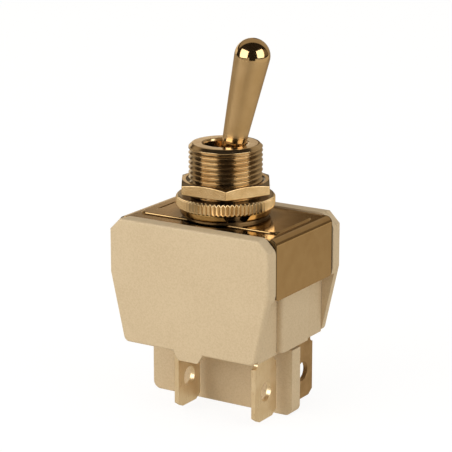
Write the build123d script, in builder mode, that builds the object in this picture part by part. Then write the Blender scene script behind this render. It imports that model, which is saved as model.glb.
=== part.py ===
from build123d import *
from math import cos, radians, sin, sqrt, tan
import os

# Double-pole bat-handle toggle switch for a round panel hole. All sizes are in millimetres.
# Frame: +Z up along the bushing, X along the case and the lever's throw, Y from pole to pole.
# The origin is on the bushing axis at the foot of the barrier between the terminals.
# Heights named "..._height" are above the origin, others are lengths of the piece itself.

# Moulded case
rim_height = 31.5
case_length = 29.6
case_depth = 22.8
case_tall = 20.4
upright_tall = 9.0
foot_taper_run = 2.6
corner_run = 1.9
corner_drop = 1.9
corner_blend = 1.6
foot_blend = 1.0
skirt_thickness = 1.4
rim_thickness = 2.35
rim_tall = 10.1
face_edge_round = 0.35
end_boss_width = 8.6
end_boss_lift = 0.4
end_boss_round = 0.8
barrier_thickness = 2.6
barrier_corner = 1.3
tab_top_width = 5.4
tab_foot_width = 3.6
tab_tall = 1.4
tab_thickness = 1.0
tab_blend = 0.4
end_wall = 0.85
centre_wall = 2.4
centre_wall_drop = 9.5
floor_thickness = 3.0

# Sheet metal saddle, its liner and the bushing
saddle_end_inset = 0.1
saddle_end_clearance = 0.45
saddle_side_clearance = 0.15
saddle_thickness = 0.9
saddle_leg = 10.1
saddle_bend = 1.1
plateau_end_margin = 1.9
plateau_side_margin = 3.2
plateau_rise = 0.25
index_slot_length = 4.6
index_slot_width = 0.35
index_slot_inset = 1.55
liner_thickness = 0.4
liner_margin = 0.3
bushing_diameter = 11.906
bushing_tall = 11.8
bushing_chamfer = 0.5
bushing_flange_diameter = 13.8
bushing_flange = 1.2
bushing_mouth_diameter = 7.1
bushing_mouth_flare = 0.1
bushing_skirt_bore = 9.4
bushing_skirt_top = 1.0
bushing_skirt_cone = 1.0

# Thread and the hardware on it
thread_pitch = 0.794
thread_clearance = 0.04
washer_clearance = 0.1
hex_across_flats = 14.0
hex_nut_thickness = 1.75
hex_nut_lift = 4.2
hex_corner_angle = 2.0
hex_top_chamfer_angle = 20.0
hex_foot_chamfer_angle = 12.0
knurl_diameter = 16.0
knurl_thickness = 2.0
knurl_lift = 1.5
knurl_teeth = 68
knurl_tooth_depth = 0.3
knurl_edge = 0.3
key_ring_diameter = 14.7
key_ring_thickness = 1.2
key_ring_chamfer = 0.3
key_ring_gap_foot = 2.7
key_ring_gap_top = 5.0
key_ring_gap_angle = -43.5
tooth_washer_diameter = 14.0
tooth_washer_thickness = 0.3
tooth_washer_bore = 13.0
washer_teeth = 10
washer_tooth_width = 1.5

# Lever
lever_pivot_lift = 5.45
lever_throw_angle = 13.3
lever_ball_diameter = 7.8
ball_seat_clearance = 0.3
lever_neck_diameter = 3.8
lever_taper_start = 6.5
lever_head_reach = 21.36
lever_head_diameter = 5.7
lever_stem_diameter = 4.6
lever_stem_length = 12.6
lever_pin_diameter = 1.55
lever_pin_length = 11.0
pin_running_clearance = 0.05

# Plunger carrier, plungers and their springs
pole_spacing = 8.6
carrier_top_reach = 9.35
carrier_tall = 3.7
carrier_length = 6.0
carrier_side_clearance = 1.0
carrier_round = 0.6
plunger_diameter = 2.9
plunger_clearance = 0.05
plunger_bore_roof = 0.75
plunger_reach = 15.7
plunger_length = 4.1
plunger_hollow_diameter = 1.9
plunger_hollow_depth = 2.4
spring_wire = 0.3
spring_diameter = 1.4
spring_pitch = 0.8
spring_wire_sides = 6

# Contact rockers
rocker_track_gap = 0.05
rocker_thickness = 0.8
rocker_width = 4.0
rocker_cup_half = 5.5
rocker_arm_overhang = 1.2
rocker_tilt_angle = 5.0
knuckle_height = 0.35
knuckle_drop = 0.6
knuckle_width = 2.6
knuckle_flare = 0.12
cradle_clearance = 0.05
moving_contact_inset = 1.6
moving_contact_diameter = 2.8
moving_contact_tall = 1.0
moving_contact_crown = 0.2

# Terminals and fixed contacts
blade_thickness = 0.8
blade_width = 6.35
blade_inner_edge = 2.65
neck_width = 4.25
neck_side_clearance = 0.5
blade_tip_height = 0.6
blade_tip_run = 1.2
blade_tip_rise = 0.8
blade_hole_diameter = 3.2
blade_hole_height = 5.2
blade_notch_radius = 0.75
on_blade_inset = 0.55
common_blade_place = -3.7
slot_clearance = 0.05
common_run_drop = 15.2
strip_inner_bend = 0.4
fixed_contact_diameter = 3.0
fixed_contact_tall = 0.9
contact_gap_closed = 0.05

# Heights worked out from the sizes above
case_foot_height = rim_height - case_tall
saddle_top_height = rim_height - plateau_rise
saddle_underside = saddle_top_height - saddle_thickness
deck_height = saddle_underside - liner_thickness
rim_foot_height = rim_height - rim_tall
leg_foot_height = rim_height - saddle_leg
centre_wall_height = rim_height - centre_wall_drop
chamber_floor_height = case_foot_height + floor_thickness
lever_pivot_height = rim_height + lever_pivot_lift
bushing_top_height = rim_height + bushing_tall
rocker_track_radius = plunger_reach + rocker_track_gap
rocker_pivot_height = lever_pivot_height - rocker_track_radius - rocker_thickness - knuckle_height

# Lengths and places along the case worked out from the sizes above
case_foot_length = case_length - 2 * foot_taper_run
saddle_length = case_length - 2 * saddle_end_inset
end_boss_length = saddle_length - 2 * (saddle_thickness + saddle_end_clearance)
plateau_length = saddle_length - 2 * plateau_end_margin
index_slot_place = plateau_length / 2 - index_slot_inset
chamber_length = case_foot_length - 2 * end_wall
on_blade_place = chamber_length / 2 - on_blade_inset
moving_contact_place = on_blade_place - moving_contact_inset
rocker_arm_reach = moving_contact_place + rocker_arm_overhang
on_tab_end = moving_contact_place - fixed_contact_diameter / 2

# Radii and half widths worked out from the sizes above
bushing_radius = bushing_diameter / 2
engaged_radius = bushing_radius - thread_pitch * sqrt(3) * 3 / 16
ball_radius = lever_ball_diameter / 2
neck_radius = lever_neck_diameter / 2
head_radius = lever_head_diameter / 2
stem_radius = lever_stem_diameter / 2
lever_pin_radius = lever_pin_diameter / 2
half_blade = blade_thickness / 2
case_half_depth = case_depth / 2
skirt_inner = case_half_depth - skirt_thickness
rim_inner = case_half_depth - rim_thickness
saddle_width = 2 * (rim_inner - saddle_side_clearance)
plateau_width = saddle_width - 2 * plateau_side_margin
chamber_half_depth = blade_inner_edge + neck_width + neck_side_clearance
carrier_depth = 2 * (chamber_half_depth - carrier_side_clearance)
pole_place = pole_spacing / 2
neck_middle = blade_inner_edge + neck_width / 2
blade_middle = blade_inner_edge + blade_width / 2

pole_sides = {"front": -1, "rear": 1}


# Planes of the tilted pieces
def axis_plane(height, angle):
    """Plane at a pivot on the bushing axis, its normal leaning from +Z towards +X by angle."""
    tilt = radians(angle)
    return Plane(origin=(0, 0, height), x_dir=(cos(tilt), 0, -sin(tilt)), z_dir=(sin(tilt), 0, cos(tilt)))


def side_plane(height, angle, across=0.0):
    """Plane through a pivot for side profiles: x along the tilted X, y up, extruded both ways along Y."""
    tilt = radians(angle)
    return Plane(origin=(0, across, height), x_dir=(cos(tilt), 0, -sin(tilt)), z_dir=(0, -1, 0))


lever_plane = axis_plane(lever_pivot_height, lever_throw_angle)
lever_side = side_plane(lever_pivot_height, lever_throw_angle)


def save(piece, name):
    """Label a finished piece and write it as one STEP file."""
    piece.part.label = name
    export_step(piece.part, f"parts/{name}.step")


os.makedirs("parts", exist_ok=True)

# Case: a box-shaped core between two shield plates, open on top, with a barrier between the terminals
plate_half = case_length / 2
foot_half = case_foot_length / 2
upright_foot_height = rim_height - upright_tall


def plate_outline():
    """Edges of the shield plate: chamfered top corners, upright ends, then a taper down to the foot."""
    Polyline(
        (-plate_half, rim_height - corner_drop),
        (-plate_half + corner_run, rim_height),
        (plate_half - corner_run, rim_height),
        (plate_half, rim_height - corner_drop),
        (plate_half, upright_foot_height),
        (foot_half, case_foot_height),
        (-foot_half, case_foot_height),
        (-plate_half, upright_foot_height),
        close=True,
    )


with BuildPart() as case:
    for side in (-1, 1):
        with BuildSketch(Plane.XZ.offset(-side * skirt_inner)) as plate:
            with BuildLine():
                plate_outline()
            make_face()
            corners = plate.vertices().group_by(Axis.Y)
            fillet(corners[0], foot_blend)
            fillet(corners[-1] + corners[-2], corner_blend)
        extrude(amount=-side * skirt_thickness)
        with BuildSketch(Plane.XZ.offset(-side * rim_inner)) as rim:
            with BuildLine():
                plate_outline()
            make_face()
            fillet(rim.vertices().group_by(Axis.Y)[-1] + rim.vertices().group_by(Axis.Y)[-2], corner_blend)
            with Locations((0, rim_foot_height - rim_height)):
                Rectangle(case_length, 2 * rim_height, mode=Mode.SUBTRACT)
        extrude(amount=-side * (skirt_inner - rim_inner))
    with BuildSketch(Plane.XY.offset(case_foot_height)):
        Rectangle(case_foot_length, 2 * skirt_inner)
    extrude(amount=deck_height - case_foot_height)
    with BuildSketch(Plane.XY.offset(case_foot_height + end_boss_lift)):
        RectangleRounded(end_boss_length, end_boss_width, end_boss_round)
    extrude(amount=deck_height - case_foot_height - end_boss_lift)
    face_rims = case.faces().group_by(Axis.Y)[0].edges() + case.faces().group_by(Axis.Y)[-1].edges()
    fillet(face_rims, face_edge_round)
    with BuildSketch(Plane.XZ) as barrier:
        with Locations((0, case_foot_height / 2)):
            Rectangle(end_boss_length, case_foot_height)
        fillet(barrier.vertices().group_by(Axis.Y)[0], barrier_corner)
    extrude(amount=barrier_thickness / 2, both=True)
    for side in (-1, 1):
        with BuildSketch(Plane.XZ.offset(-side * (case_half_depth - tab_thickness))) as tab:
            with BuildLine():
                Polyline(
                    (-tab_top_width / 2, case_foot_height + tab_blend),
                    (tab_top_width / 2, case_foot_height + tab_blend),
                    (tab_top_width / 2, case_foot_height),
                    (tab_foot_width / 2, case_foot_height - tab_tall),
                    (-tab_foot_width / 2, case_foot_height - tab_tall),
                    (-tab_top_width / 2, case_foot_height),
                    close=True,
                )
            make_face()
            fillet(tab.vertices().group_by(Axis.Y)[0], tab_blend)
        extrude(amount=-side * tab_thickness)
    with BuildSketch(Plane.XY.offset(deck_height)):
        Rectangle(chamber_length, 2 * chamber_half_depth)
    extrude(amount=centre_wall_height - deck_height, mode=Mode.SUBTRACT)
    pole_room = chamber_half_depth - centre_wall / 2
    with BuildSketch(Plane.XY.offset(centre_wall_height)):
        with Locations((0, centre_wall / 2 + pole_room / 2), (0, -centre_wall / 2 - pole_room / 2)):
            Rectangle(chamber_length, pole_room)
    extrude(amount=chamber_floor_height - centre_wall_height, mode=Mode.SUBTRACT)
    with BuildSketch(Plane.XY.offset(case_foot_height)):
        for side in (-1, 1):
            with Locations((on_blade_place, side * neck_middle), (common_blade_place, side * neck_middle)):
                Rectangle(blade_thickness + 2 * slot_clearance, neck_width + 2 * slot_clearance)
    extrude(amount=floor_thickness, mode=Mode.SUBTRACT)
save(case, "case")

# Saddle: one strip bent down over both ends, with a low plateau and an index slot on top
with BuildPart() as saddle:
    with BuildSketch(Plane.XZ) as bent_strip:
        with Locations((0, (saddle_top_height + leg_foot_height) / 2)):
            Rectangle(saddle_length, saddle_top_height - leg_foot_height)
        fillet(bent_strip.vertices().group_by(Axis.Y)[-1], saddle_bend)
        inner_length = saddle_length - 2 * saddle_thickness
        inner_bend = saddle_bend - saddle_thickness
        with BuildLine():
            FilletPolyline(
                (-inner_length / 2, leg_foot_height),
                (-inner_length / 2, saddle_underside),
                (inner_length / 2, saddle_underside),
                (inner_length / 2, leg_foot_height),
                radius=inner_bend,
            )
            Line((inner_length / 2, leg_foot_height), (-inner_length / 2, leg_foot_height))
        make_face(mode=Mode.SUBTRACT)
    extrude(amount=saddle_width / 2, both=True)
    fillet(saddle.edges().filter_by(Axis.X).group_by(Axis.Z)[0], saddle_thickness)
    with BuildSketch(Plane.XY.offset(saddle_top_height)):
        Rectangle(plateau_length, plateau_width)
    extrude(amount=plateau_rise)
    with BuildSketch(Plane.XY.offset(saddle_underside)):
        with Locations((-index_slot_place, 0)):
            SlotOverall(index_slot_length, index_slot_width, rotation=90)
        Circle(bushing_radius)
    extrude(amount=rim_height - saddle_underside, mode=Mode.SUBTRACT)
save(saddle, "saddle")

# Liner: insulating sheet between the saddle and the case
with BuildPart() as liner:
    with BuildSketch(Plane.XY.offset(deck_height)):
        Rectangle(end_boss_length - 2 * liner_margin, 2 * (rim_inner - liner_margin))
        Circle(bushing_flange_diameter / 2 + liner_margin, mode=Mode.SUBTRACT)
    extrude(amount=liner_thickness)
save(liner, "liner")

# Bushing: turned barrel with a flange under the saddle and a round seat for the lever's ball.
# Its bare thread is a cylinder over the crests, and inside a nut one at the thread's pitch line.
mouth_radius = bushing_mouth_diameter / 2
seat_radius = ball_radius + ball_seat_clearance
seat_top_height = lever_pivot_height + sqrt(seat_radius**2 - mouth_radius**2)
flange_radius = bushing_flange_diameter / 2
flange_foot_height = saddle_underside - bushing_flange
skirt_bore_radius = bushing_skirt_bore / 2
skirt_bore_height = rim_height + bushing_skirt_top

with BuildPart() as bushing:
    with BuildSketch(Plane.XZ):
        with BuildLine():
            Polyline(
                (seat_radius, lever_pivot_height),
                (seat_radius, skirt_bore_height + bushing_skirt_cone),
                (skirt_bore_radius, skirt_bore_height),
                (skirt_bore_radius, flange_foot_height),
                (flange_radius, flange_foot_height),
                (flange_radius, saddle_underside),
                (bushing_radius, saddle_underside),
                (bushing_radius, bushing_top_height - bushing_chamfer),
                (bushing_radius - bushing_chamfer, bushing_top_height),
                (mouth_radius + bushing_mouth_flare, bushing_top_height),
                (mouth_radius, bushing_top_height - bushing_mouth_flare),
                (mouth_radius, seat_top_height),
            )
            RadiusArc((mouth_radius, seat_top_height), (seat_radius, lever_pivot_height), seat_radius)
        make_face()
    revolve(axis=Axis.Z)
    for lift, thickness in ((knurl_lift, knurl_thickness), (hex_nut_lift, hex_nut_thickness)):
        with BuildSketch(Plane.XY.offset(rim_height + lift - thread_clearance)):
            Circle(flange_radius)
            Circle(engaged_radius, mode=Mode.SUBTRACT)
        extrude(amount=thickness + 2 * thread_clearance, mode=Mode.SUBTRACT)
    with BuildSketch(Plane.XZ):
        with Locations((0, lever_pivot_height)):
            Circle(lever_pin_radius)
    extrude(amount=bushing_radius, both=True, mode=Mode.SUBTRACT)
save(bushing, "bushing")

# Nuts and washers on the bushing
nut_bore_radius = engaged_radius + thread_clearance
washer_bore_radius = bushing_radius + washer_clearance
hex_corner_radius = hex_across_flats / 2 / cos(radians(30))
hex_chamfer_run = hex_corner_radius - hex_across_flats / 2
hex_top_chamfer = hex_chamfer_run * tan(radians(hex_top_chamfer_angle))
hex_foot_chamfer = hex_chamfer_run * tan(radians(hex_foot_chamfer_angle))

with BuildPart() as hex_nut:
    with BuildSketch(Plane.XY.offset(rim_height + hex_nut_lift)):
        RegularPolygon(hex_corner_radius, 6, rotation=hex_corner_angle)
        Circle(nut_bore_radius, mode=Mode.SUBTRACT)
    extrude(amount=hex_nut_thickness)
    with BuildSketch(Plane.XZ):
        with BuildLine():
            foot = rim_height + hex_nut_lift
            Polyline(
                (0, foot),
                (hex_across_flats / 2, foot),
                (hex_corner_radius, foot + hex_foot_chamfer),
                (hex_corner_radius, foot + hex_nut_thickness - hex_top_chamfer),
                (hex_across_flats / 2, foot + hex_nut_thickness),
                (0, foot + hex_nut_thickness),
                close=True,
            )
        make_face()
    revolve(axis=Axis.Z, mode=Mode.INTERSECT)
save(hex_nut, "hex_nut")

knurl_radius = knurl_diameter / 2
knurl_root_radius = knurl_radius - knurl_tooth_depth

with BuildPart() as knurled_nut:
    with BuildSketch(Plane.XY.offset(rim_height + knurl_lift)):
        Circle(knurl_radius)
        Circle(nut_bore_radius, mode=Mode.SUBTRACT)
        with PolarLocations(knurl_radius + knurl_tooth_depth, knurl_teeth):
            Rectangle(2 * knurl_tooth_depth * sqrt(2), 2 * knurl_tooth_depth * sqrt(2), rotation=45,
                      mode=Mode.SUBTRACT)
    extrude(amount=knurl_thickness)
    with BuildSketch(Plane.XZ):
        with BuildLine():
            foot = rim_height + knurl_lift
            Polyline(
                (0, foot),
                (knurl_radius - knurl_edge, foot),
                (knurl_radius, foot + knurl_edge),
                (knurl_radius, foot + knurl_thickness - knurl_edge),
                (knurl_radius - knurl_edge, foot + knurl_thickness),
                (0, foot + knurl_thickness),
                close=True,
            )
        make_face()
    revolve(axis=Axis.Z, mode=Mode.INTERSECT)
save(knurled_nut, "knurled_nut")

gap_turn = radians(key_ring_gap_angle)
key_ring_gap_plane = Plane(
    origin=(0, 0, rim_height + tooth_washer_thickness),
    x_dir=(-sin(gap_turn), cos(gap_turn), 0),
    z_dir=(cos(gap_turn), sin(gap_turn), 0),
)

with BuildPart() as key_ring:
    with BuildSketch(Plane.XY.offset(rim_height + tooth_washer_thickness)):
        Circle(key_ring_diameter / 2)
        Circle(washer_bore_radius, mode=Mode.SUBTRACT)
    extrude(amount=key_ring_thickness)
    chamfer(key_ring.edges().group_by(Axis.Z)[0].sort_by(SortBy.RADIUS)[-1], key_ring_chamfer)
    with BuildSketch(key_ring_gap_plane):
        with BuildLine():
            Polyline(
                (-key_ring_gap_foot / 2, 0),
                (key_ring_gap_foot / 2, 0),
                (key_ring_gap_top / 2, key_ring_thickness),
                (-key_ring_gap_top / 2, key_ring_thickness),
                close=True,
            )
        make_face()
    extrude(amount=key_ring_diameter, mode=Mode.SUBTRACT)
save(key_ring, "key_ring")

with BuildPart() as tooth_washer:
    with BuildSketch(Plane.XY.offset(rim_height)):
        Circle(tooth_washer_diameter / 2)
        Circle(tooth_washer_bore / 2, mode=Mode.SUBTRACT)
        with PolarLocations((washer_bore_radius + tooth_washer_bore / 2) / 2, washer_teeth):
            Rectangle(tooth_washer_bore / 2 - washer_bore_radius, washer_tooth_width)
        Circle(washer_bore_radius, mode=Mode.SUBTRACT)
    extrude(amount=tooth_washer_thickness)
save(tooth_washer, "tooth_washer")

# Lever: turned bat handle, ball and stem in one piece, with a cross hole for its pin
stem_meets_ball = -sqrt(ball_radius**2 - stem_radius**2)
neck_meets_ball = sqrt(ball_radius**2 - neck_radius**2)
head_top_reach = lever_head_reach + head_radius

with BuildPart() as lever:
    with BuildSketch(lever_side):
        with BuildLine():
            Polyline(
                (0, head_top_reach),
                (0, -lever_stem_length),
                (stem_radius, -lever_stem_length),
                (stem_radius, stem_meets_ball),
            )
            ThreePointArc((stem_radius, stem_meets_ball), (ball_radius, 0), (neck_radius, neck_meets_ball))
            Polyline(
                (neck_radius, neck_meets_ball),
                (neck_radius, lever_taper_start),
                (head_radius, lever_head_reach),
            )
            RadiusArc((head_radius, lever_head_reach), (0, head_top_reach), -head_radius)
        make_face()
    revolve(axis=Axis(lever_plane.origin, lever_plane.z_dir))
    with BuildSketch(lever_side):
        Circle(lever_pin_radius + pin_running_clearance)
    extrude(amount=ball_radius, both=True, mode=Mode.SUBTRACT)
save(lever, "lever")

with BuildPart() as lever_pin:
    with BuildSketch(lever_side):
        Circle(lever_pin_radius)
    extrude(amount=lever_pin_length / 2, both=True)
save(lever_pin, "lever_pin")

# Plunger carrier: moulded yoke on the stem, with a spring pocket over each pole
carrier_foot_reach = carrier_top_reach + carrier_tall
bore_roof_reach = carrier_top_reach + plunger_bore_roof
plunger_radius = plunger_diameter / 2
plunger_bore_radius = plunger_radius + plunger_clearance

with BuildPart() as plunger_carrier:
    with BuildSketch(lever_plane.offset(-carrier_foot_reach)):
        RectangleRounded(carrier_length, carrier_depth, carrier_round)
    extrude(amount=carrier_tall)
    with BuildSketch(lever_plane.offset(-carrier_foot_reach)):
        Circle(stem_radius)
    extrude(amount=carrier_tall, mode=Mode.SUBTRACT)
    with BuildSketch(lever_plane.offset(-carrier_foot_reach)):
        with Locations((0, -pole_place), (0, pole_place)):
            Circle(plunger_bore_radius)
    extrude(amount=carrier_foot_reach - bore_roof_reach, mode=Mode.SUBTRACT)
save(plunger_carrier, "plunger_carrier")

plunger_tip_centre = plunger_reach - plunger_radius
plunger_head_reach = plunger_reach - plunger_length
hollow_foot_reach = plunger_head_reach + plunger_hollow_depth
spring_length = hollow_foot_reach - bore_roof_reach - 2 * spring_wire

for pole, side in pole_sides.items():
    pole_plane = lever_plane.offset(-hollow_foot_reach)
    pole_axis = Axis(lever_plane.from_local_coords(Vector(0, side * pole_place, 0)), lever_plane.z_dir)
    with BuildPart() as plunger:
        with BuildSketch(side_plane(lever_pivot_height, lever_throw_angle, side * pole_place)):
            with BuildLine():
                Polyline(
                    (0, -plunger_reach),
                    (0, -hollow_foot_reach),
                    (plunger_hollow_diameter / 2, -hollow_foot_reach),
                    (plunger_hollow_diameter / 2, -plunger_head_reach),
                    (plunger_radius, -plunger_head_reach),
                    (plunger_radius, -plunger_tip_centre),
                )
                RadiusArc((plunger_radius, -plunger_tip_centre), (0, -plunger_reach), plunger_radius)
            make_face()
        revolve(axis=pole_axis)
    save(plunger, f"plunger_{pole}")

    spring_foot = pole_plane.from_local_coords(Vector(0, side * pole_place, spring_wire))
    with BuildPart() as plunger_spring:
        with BuildLine() as coil:
            Helix(spring_pitch, spring_length, spring_diameter / 2, spring_foot, lever_plane.z_dir)
        with BuildSketch(Plane(origin=coil.line @ 0, z_dir=coil.line % 0)):
            RegularPolygon(spring_wire / 2, spring_wire_sides)
        sweep(path=coil.line)
    save(plunger_spring, f"plunger_spring_{pole}")

# Contact rocker: dished strip that rocks on the common terminal, its knuckle grooved for the cradle
track_centre = rocker_track_radius + rocker_thickness + knuckle_height
rocker_back_radius = rocker_track_radius + rocker_thickness
cup_top_edge = track_centre - sqrt(rocker_track_radius**2 - rocker_cup_half**2)
cup_back_edge = track_centre - sqrt(rocker_back_radius**2 - rocker_cup_half**2)
cradle_radius = half_blade + cradle_clearance

for pole, side in pole_sides.items():
    rocker_side = side_plane(rocker_pivot_height, -rocker_tilt_angle, side * pole_place)
    rocker_plane = axis_plane(rocker_pivot_height, -rocker_tilt_angle)
    with BuildPart() as contact_rocker:
        with BuildSketch(rocker_side):
            with BuildLine():
                ThreePointArc(
                    (-rocker_cup_half, cup_top_edge),
                    (0, knuckle_height + rocker_thickness),
                    (rocker_cup_half, cup_top_edge),
                )
                Polyline(
                    (rocker_cup_half, cup_top_edge),
                    (rocker_arm_reach, cup_top_edge),
                    (rocker_arm_reach, cup_back_edge),
                    (rocker_cup_half, cup_back_edge),
                )
                ThreePointArc(
                    (rocker_cup_half, cup_back_edge),
                    (0, knuckle_height),
                    (-rocker_cup_half, cup_back_edge),
                )
                Line((-rocker_cup_half, cup_back_edge), (-rocker_cup_half, cup_top_edge))
            make_face()
            with Locations((0, (knuckle_height + rocker_thickness - knuckle_drop) / 2)):
                Rectangle(knuckle_width, knuckle_height + knuckle_drop)
            Circle(cradle_radius, mode=Mode.SUBTRACT)
            with BuildLine():
                Polyline(
                    (-cradle_radius, 0),
                    (cradle_radius, 0),
                    (cradle_radius + knuckle_flare, -knuckle_drop),
                    (-cradle_radius - knuckle_flare, -knuckle_drop),
                    close=True,
                )
            make_face(mode=Mode.SUBTRACT)
        extrude(amount=rocker_width / 2, both=True)
    save(contact_rocker, f"contact_rocker_{pole}")

    contact_radius = moving_contact_diameter / 2
    crown_radius = (contact_radius**2 + moving_contact_crown**2) / (2 * moving_contact_crown)
    contact_foot = rocker_plane.from_local_coords(Vector(moving_contact_place, side * pole_place, 0))
    contact_axis = Axis(contact_foot, rocker_plane.z_dir)
    contact_side = Plane(origin=contact_foot, x_dir=rocker_side.x_dir, z_dir=rocker_side.z_dir)
    with BuildPart() as moving_contact:
        with BuildSketch(contact_side):
            apex = cup_back_edge - moving_contact_tall
            with BuildLine():
                Polyline(
                    (0, apex),
                    (0, cup_back_edge),
                    (contact_radius, cup_back_edge),
                    (contact_radius, apex + moving_contact_crown),
                )
                RadiusArc((contact_radius, apex + moving_contact_crown), (0, apex), crown_radius)
            make_face()
        revolve(axis=contact_axis)
    save(moving_contact, f"moving_contact_{pole}")

# The crown of the closed moving contact sets the height of the fixed one
crown_centre = cup_back_edge - moving_contact_tall + crown_radius
closed_crown_height = (
    rocker_pivot_height
    + crown_centre * cos(radians(rocker_tilt_angle))
    - moving_contact_place * sin(radians(rocker_tilt_angle))
    - crown_radius
)
fixed_contact_height = closed_crown_height - contact_gap_closed
on_tab_height = fixed_contact_height - fixed_contact_tall
common_run_height = rim_height - common_run_drop
strip_outer_bend = strip_inner_bend + blade_thickness


def blade(place, side):
    """Flat push-on blade below the case, with its wire hole, notched shoulders and bevelled tip."""
    plane = Plane(origin=(place - half_blade, 0, 0), x_dir=(0, side, 0), z_dir=(side, 0, 0))
    with BuildSketch(plane) as outline:
        with BuildLine():
            Polyline(
                (blade_inner_edge, case_foot_height),
                (blade_inner_edge, blade_tip_height + blade_tip_rise),
                (blade_inner_edge + blade_tip_run, blade_tip_height),
                (blade_inner_edge + blade_width - blade_tip_run, blade_tip_height),
                (blade_inner_edge + blade_width, blade_tip_height + blade_tip_rise),
                (blade_inner_edge + blade_width, case_foot_height),
                close=True,
            )
        make_face()
        notch_height = case_foot_height - blade_notch_radius
        with Locations((blade_inner_edge, notch_height), (blade_inner_edge + blade_width, notch_height)):
            Circle(blade_notch_radius, mode=Mode.SUBTRACT)
        with Locations((blade_middle, blade_hole_height)):
            Circle(blade_hole_diameter / 2, mode=Mode.SUBTRACT)
    extrude(to_extrude=outline.sketch, amount=side * blade_thickness)


for pole, side in pole_sides.items():
    neck_side = Plane.XZ.offset(-side * neck_middle)
    with BuildPart() as on_terminal:
        blade(on_blade_place, side)
        with BuildSketch(neck_side) as on_strip:
            with BuildLine():
                Polyline(
                    (on_blade_place + half_blade, case_foot_height),
                    (on_blade_place + half_blade, on_tab_height),
                    (on_tab_end, on_tab_height),
                    (on_tab_end, on_tab_height - blade_thickness),
                    (on_blade_place - half_blade, on_tab_height - blade_thickness),
                    (on_blade_place - half_blade, case_foot_height),
                    close=True,
                )
            make_face()
            bend_corners = on_strip.vertices().group_by(Axis.Y)
            fillet(bend_corners[-1].sort_by(Axis.X)[-1], strip_outer_bend)
            fillet(bend_corners[-2].sort_by(Axis.X)[-1], strip_inner_bend)
        extrude(amount=neck_width / 2, both=True)
    save(on_terminal, f"on_terminal_{pole}")

    with BuildPart() as common_terminal:
        blade(common_blade_place, side)
        with BuildSketch(neck_side) as common_strip:
            with BuildLine():
                Polyline(
                    (half_blade, rocker_pivot_height),
                    (half_blade, common_run_height - blade_thickness),
                    (common_blade_place + half_blade, common_run_height - blade_thickness),
                    (common_blade_place + half_blade, case_foot_height),
                    (common_blade_place - half_blade, case_foot_height),
                    (common_blade_place - half_blade, common_run_height),
                    (-half_blade, common_run_height),
                    (-half_blade, rocker_pivot_height),
                )
                RadiusArc((-half_blade, rocker_pivot_height), (half_blade, rocker_pivot_height), half_blade)
            make_face()
            run_corners = common_strip.vertices().filter_by_position(
                Axis.Y, common_run_height - blade_thickness, common_run_height
            )
            low_corners, high_corners = run_corners.group_by(Axis.Y)
            fillet([low_corners.sort_by(Axis.X)[-1], high_corners.sort_by(Axis.X)[0]], strip_outer_bend)
        extrude(amount=neck_width / 2, both=True)
    save(common_terminal, f"common_terminal_{pole}")

    with BuildPart() as fixed_contact:
        with BuildSketch(Plane.XY.offset(on_tab_height)):
            with Locations((moving_contact_place, side * pole_place)):
                Circle(fixed_contact_diameter / 2)
        extrude(amount=fixed_contact_tall)
    save(fixed_contact, f"fixed_contact_{pole}")
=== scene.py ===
"""Looks of a double-pole toggle switch with a bat lever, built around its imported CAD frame.

The case and the terminals keep their CAD meshes and get their finishes. The turned metal pieces
are surfaces of revolution with their thread, knurls, flats and rounded edges, and the saddle is a
bent strip with its raised plateau. All sizes are in millimetres in the frame's own axes, and turn
to metres when a mesh is made.
"""

import logging
from dataclasses import dataclass
from enum import Enum
from math import cos, radians, sin, sqrt

import bmesh
import bpy
import numpy as np
from bpy.types import Material, Node, NodeSocket, NodeTree, Object
from mathutils import Matrix, Vector
from numpy.typing import NDArray


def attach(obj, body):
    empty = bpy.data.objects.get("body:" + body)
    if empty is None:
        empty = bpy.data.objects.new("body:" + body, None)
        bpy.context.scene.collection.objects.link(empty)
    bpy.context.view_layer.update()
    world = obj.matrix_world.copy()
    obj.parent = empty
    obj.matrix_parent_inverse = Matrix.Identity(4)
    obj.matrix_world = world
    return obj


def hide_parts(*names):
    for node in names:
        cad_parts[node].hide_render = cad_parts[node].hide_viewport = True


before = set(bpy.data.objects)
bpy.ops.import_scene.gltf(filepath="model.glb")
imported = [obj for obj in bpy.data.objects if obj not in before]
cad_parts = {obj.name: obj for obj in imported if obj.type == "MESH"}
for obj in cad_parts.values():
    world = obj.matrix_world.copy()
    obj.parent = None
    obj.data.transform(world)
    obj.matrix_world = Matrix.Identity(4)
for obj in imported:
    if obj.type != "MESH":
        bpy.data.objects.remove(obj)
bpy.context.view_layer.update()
LOG = logging.getLogger("toggle_switch")

Array = NDArray[np.float64]
Span = tuple[float, float]

MM = 0.001
TURN = 2 * np.pi
WHITE = (1.0, 1.0, 1.0, 1.0)

# Least lengths, in millimetres, so that nothing is divided by nought or laid out with no width, and
# the distance in metres at which points are one.
SHORTEST_EDGE = 1e-9
SHORTEST_STEP = 1e-3
MERGE_METRES = 1e-7

# How rounded_loop draws a corner: its points, the longest cut as a share of the edge, and how far
# off its outer points stand, in radii and at most as a share of the edge.
CORNER_POINTS = 5
CUT_SHARE = 0.45
HOLD_REACH = 2.5
HOLD_SHARE = 0.49

# A Mix node's sockets share their names, so they go by index.
NUMBER_A, NUMBER_B = 2, 3
COLOUR_A, COLOUR_B, COLOUR_OUT = 6, 7, 2


def linear(hex_colour: str) -> tuple[float, float, float, float]:
    """Turn an sRGB hex colour to linear light.

    Args:
        hex_colour: six hex digits after a number sign.

    Returns:
        Red, green, blue and an alpha of 1.
    """
    levels = [int(hex_colour[i:i + 2], 16) / 255 for i in (1, 3, 5)]
    red, green, blue = (v / 12.92 if v <= 0.04045 else ((v + 0.055) / 1.055) ** 2.4 for v in levels)
    return red, green, blue, 1.0


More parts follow.
